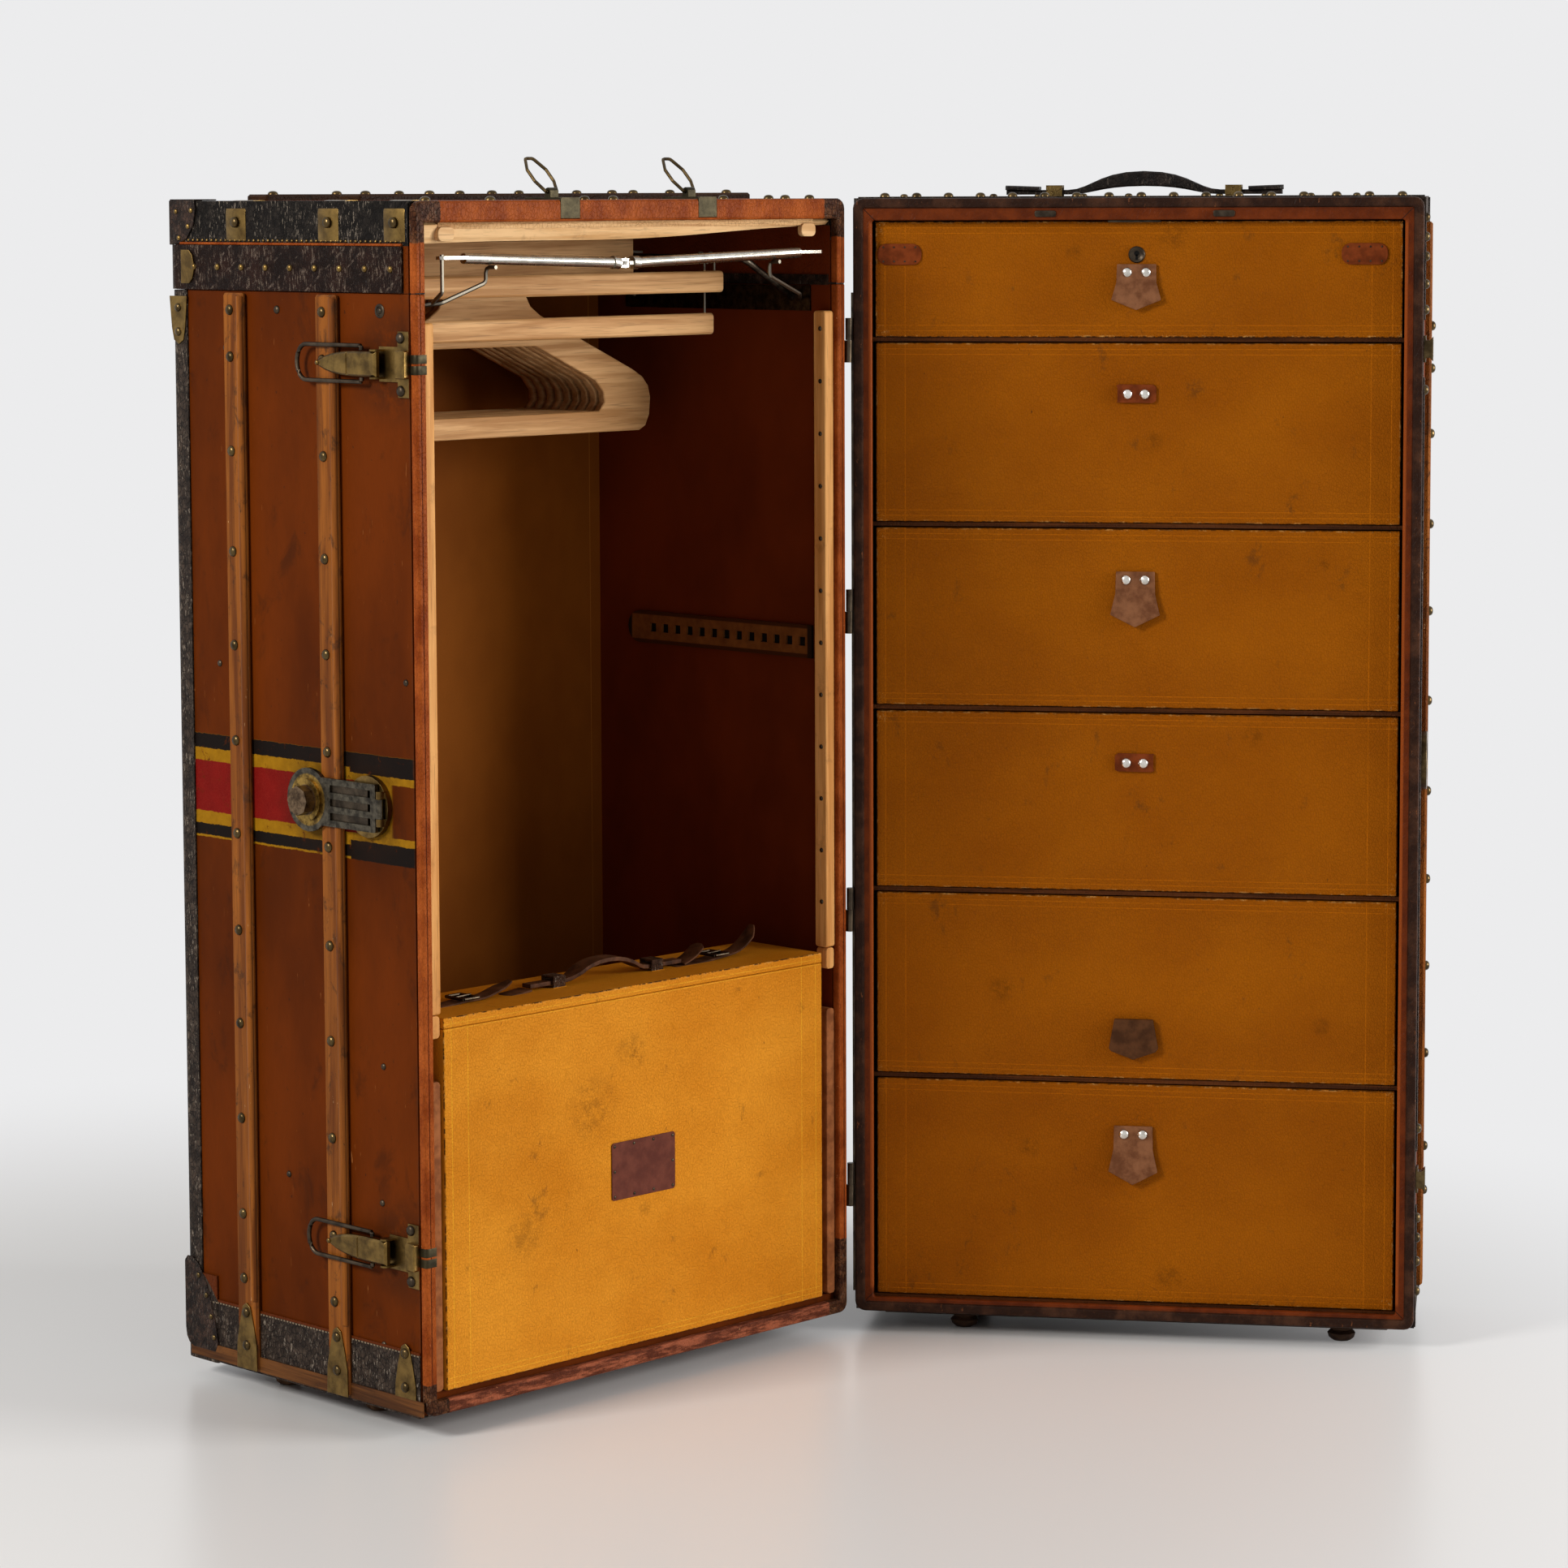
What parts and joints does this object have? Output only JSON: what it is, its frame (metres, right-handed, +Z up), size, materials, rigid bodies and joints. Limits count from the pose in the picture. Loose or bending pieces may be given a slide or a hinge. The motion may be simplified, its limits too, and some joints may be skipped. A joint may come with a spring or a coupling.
{
  "type": "wardrobe trunk",
  "caption": "Tall travelling wardrobe trunk stood open on end: a chest of drawers hinged to a hanging half with a lid, clothes rod, hangers and a flat case.",
  "frame": {"origin": "centre of the open trunk's footprint box, on the floor", "axes": "+Z up. The drawer half's open front faces -Y, and the halves' hinge line is vertical."},
  "size_m": [1.1886, 0.6672, 1.1822],
  "materials": {
    "canvas_board": "board covered in orange-brown coated canvas, worn",
    "orange_edge": "hard orange-brown fibre edge, glazed and worn",
    "dark_leather": "dark, dry and cracked",
    "slat_wood": "varnished, worn",
    "pale_wood": "pale, rubbed",
    "drawer_board": "board covered in ochre cloth, scored edge lines",
    "case_board": "fibreboard covered in light ochre cloth",
    "tan_leather": "tan, creased",
    "brass": "aged",
    "iron": "dark, oiled",
    "nickel": "worn nickel plate"
  },
  "bodies": {
    "chest": {"drawer_carcass": "canvas_board", "drawer_binding": "dark_leather", "drawer_batten_front": "slat_wood", "drawer_batten_rear": "slat_wood", "hinge_strip_drawers": "iron", "catch_upper": "brass", "catch_lower": "brass", "lock_strike": "brass"},
    "drawer_1": {"drawer_1": "drawer_board", "pull_1": "tan_leather"},
    "drawer_2": {"drawer_2": "drawer_board"},
    "drawer_3": {"drawer_3": "drawer_board", "pull_3": "tan_leather"},
    "drawer_4": {"drawer_4": "drawer_board"},
    "drawer_5": {"drawer_5": "drawer_board", "pull_5": "tan_leather"},
    "drawer_6": {"drawer_6": "drawer_board", "pull_6": "tan_leather"},
    "handle_top": {"handle_top": "dark_leather"},
    "wardrobe": {"wardrobe_carcass": "canvas_board", "wardrobe_rim": "orange_edge", "wardrobe_binding": "dark_leather", "slat_lock_front": "slat_wood", "slat_lock_rear": "slat_wood", "strip_lock": "pale_wood", "strip_hinge": "pale_wood", "wardrobe_batten_front": "slat_wood", "wardrobe_batten_rear": "slat_wood", "runner_lock": "iron", "runner_hinge": "iron", "side_rail": "iron", "hinge_strip_wardrobe": "iron", "latch_base_upper": "brass", "latch_base_lower": "brass", "lock_base": "brass"},
    "lid": {"lid_shell": "canvas_board", "lid_rim": "orange_edge", "lid_band": "dark_leather", "lid_hinge_lid": "iron", "clip_base_left": "brass", "clip_base_right": "brass"},
    "clip_left": {"clip_bail_left": "brass"},
    "clip_right": {"clip_bail_right": "brass"},
    "case": {"case_body": "case_board"},
    "case_lid": {"case_lid": "case_board"},
    "case_handle": {"case_handle": "dark_leather"},
    "latch_upper_lever": {"latch_lever_upper": "brass"},
    "latch_upper_bail": {"latch_bail_upper": "iron"},
    "latch_lower_lever": {"latch_lever_lower": "brass"},
    "latch_lower_bail": {"latch_bail_lower": "iron"},
    "lock_hasp": {"lock_hasp": "brass"},
    "rod_lock": {"rod_lock_half": "nickel"},
    "rod_hinge": {"rod_hinge_half": "nickel"},
    "trouser_hanger_upper": {"trouser_hanger_upper": "pale_wood"},
    "trouser_hanger_lower": {"trouser_hanger_lower": "pale_wood"},
    "hanger_1": {"hanger_1": "pale_wood"},
    "hanger_2": {"hanger_2": "pale_wood"},
    "hanger_3": {"hanger_3": "pale_wood"},
    "hanger_4": {"hanger_4": "pale_wood"},
    "hanger_5": {"hanger_5": "pale_wood"}
  },
  "joints": [
    {"name": "trunk_hinge", "type": "hinge", "parent": "chest", "child": "wardrobe", "pos_m": [0.02101, 0.12765, 0.582], "axis": [0, 0, -1], "range_deg": [-125.3, 40]},
    {"name": "drawer_1_slide", "type": "slide", "parent": "chest", "child": "drawer_1", "axis": [0, -1, 0], "range_m": [0, 0.15]},
    {"name": "drawer_2_slide", "type": "slide", "parent": "chest", "child": "drawer_2", "axis": [0, -1, 0], "range_m": [0, 0.15]},
    {"name": "drawer_3_slide", "type": "slide", "parent": "chest", "child": "drawer_3", "axis": [0, -1, 0], "range_m": [0, 0.15]},
    {"name": "drawer_4_slide", "type": "slide", "parent": "chest", "child": "drawer_4", "axis": [0, -1, 0], "range_m": [0, 0.15]},
    {"name": "drawer_5_slide", "type": "slide", "parent": "chest", "child": "drawer_5", "axis": [0, -1, 0], "range_m": [0, 0.15]},
    {"name": "drawer_6_slide", "type": "slide", "parent": "chest", "child": "drawer_6", "axis": [0, -1, 0], "range_m": [0, 0.15]},
    {"name": "handle_top_tilt", "type": "hinge", "parent": "chest", "child": "handle_top", "pos_m": [0.30501, 0.22765, 1.14715], "axis": [1, 0, 0], "range_deg": [-12, 12]},
    {"name": "lid_hinge", "type": "hinge", "parent": "wardrobe", "child": "lid", "pos_m": [-0.43895, 0.10534, 1.058], "axis": [-0.5779, -0.8161, 0], "range_deg": [0, 100]},
    {"name": "clip_left_hinge", "type": "hinge", "parent": "lid", "child": "clip_left", "pos_m": [-0.21603, -0.16215, 1.1495], "axis": [-0.5779, -0.8161, 0], "range_deg": [-135, 40]},
    {"name": "clip_right_hinge", "type": "hinge", "parent": "lid", "child": "clip_right", "pos_m": [-0.1126, -0.01607, 1.1495], "axis": [-0.5779, -0.8161, 0], "range_deg": [-135, 40]},
    {"name": "case_slide", "type": "slide", "parent": "wardrobe", "child": "case", "axis": [0.8161, -0.5779, 0], "range_m": [0, 0.3]},
    {"name": "case_lid_hinge", "type": "hinge", "parent": "case", "child": "case_lid", "pos_m": [-0.23379, -0.0436, 0.38215], "axis": [-0.5779, -0.8161, 0], "range_deg": [0, 100]},
    {"name": "case_handle_tilt", "type": "hinge", "parent": "case_lid", "child": "case_handle", "pos_m": [-0.19094, -0.07393, 0.3971], "axis": [0.5779, 0.8161, 0], "range_deg": [-15, 15]},
    {"name": "latch_upper_lever_hinge", "type": "hinge", "parent": "wardrobe", "child": "latch_upper_lever", "pos_m": [-0.34923, -0.3129, 0.994], "axis": [0, 0, 1], "range_deg": [0, 165]},
    {"name": "latch_upper_bail_hinge", "type": "hinge", "parent": "latch_upper_lever", "child": "latch_upper_bail", "pos_m": [-0.36425, -0.30227, 0.994], "axis": [0, 0, -1], "range_deg": [-184.3, 0]},
    {"name": "latch_lower_lever_hinge", "type": "hinge", "parent": "wardrobe", "child": "latch_lower_lever", "pos_m": [-0.34923, -0.3129, 0.172], "axis": [0, 0, 1], "range_deg": [0, 165]},
    {"name": "latch_lower_bail_hinge", "type": "hinge", "parent": "latch_lower_lever", "child": "latch_lower_bail", "pos_m": [-0.36425, -0.30227, 0.172], "axis": [0, 0, -1], "range_deg": [-184.3, 0]},
    {"name": "lock_hasp_hinge", "type": "hinge", "parent": "wardrobe", "child": "lock_hasp", "pos_m": [-0.35009, -0.31168, 0.586], "axis": [0, 0, -1], "range_deg": [-180, 0]},
    {"name": "rod_swing", "type": "hinge", "parent": "wardrobe", "child": "rod_lock", "pos_m": [-0.28846, -0.30079, 1.09], "axis": [0, 0, -1], "range_deg": [0, 90]},
    {"name": "rod_fold", "type": "hinge", "parent": "rod_lock", "child": "rod_hinge", "pos_m": [-0.15642, -0.1143, 1.0825], "axis": [0, 0, -1], "range_deg": [0, 90]},
    {"name": "hanger_1_slide", "type": "slide", "parent": "wardrobe", "child": "hanger_1", "axis": [0.8161, -0.5779, 0], "range_m": [-0.0035, 0.06]},
    {"name": "hanger_2_slide", "type": "slide", "parent": "wardrobe", "child": "hanger_2", "axis": [0.8161, -0.5779, 0], "range_m": [-0.0035, 0.0035]},
    {"name": "hanger_3_slide", "type": "slide", "parent": "wardrobe", "child": "hanger_3", "axis": [0.8161, -0.5779, 0], "range_m": [-0.0035, 0.0035]},
    {"name": "hanger_4_slide", "type": "slide", "parent": "wardrobe", "child": "hanger_4", "axis": [0.8161, -0.5779, 0], "range_m": [-0.0035, 0.0035]},
    {"name": "hanger_5_slide", "type": "slide", "parent": "wardrobe", "child": "hanger_5", "axis": [0.8161, -0.5779, 0], "range_m": [-0.0035, 0.0035]},
    {"name": "trouser_hanger_upper_slide", "type": "slide", "parent": "wardrobe", "child": "trouser_hanger_upper", "axis": [0.8161, -0.5779, 0], "range_m": [-0.004, 0.034]},
    {"name": "trouser_hanger_lower_slide", "type": "slide", "parent": "wardrobe", "child": "trouser_hanger_lower", "axis": [0.8161, -0.5779, 0], "range_m": [-0.075, 0.005]}
  ]
}
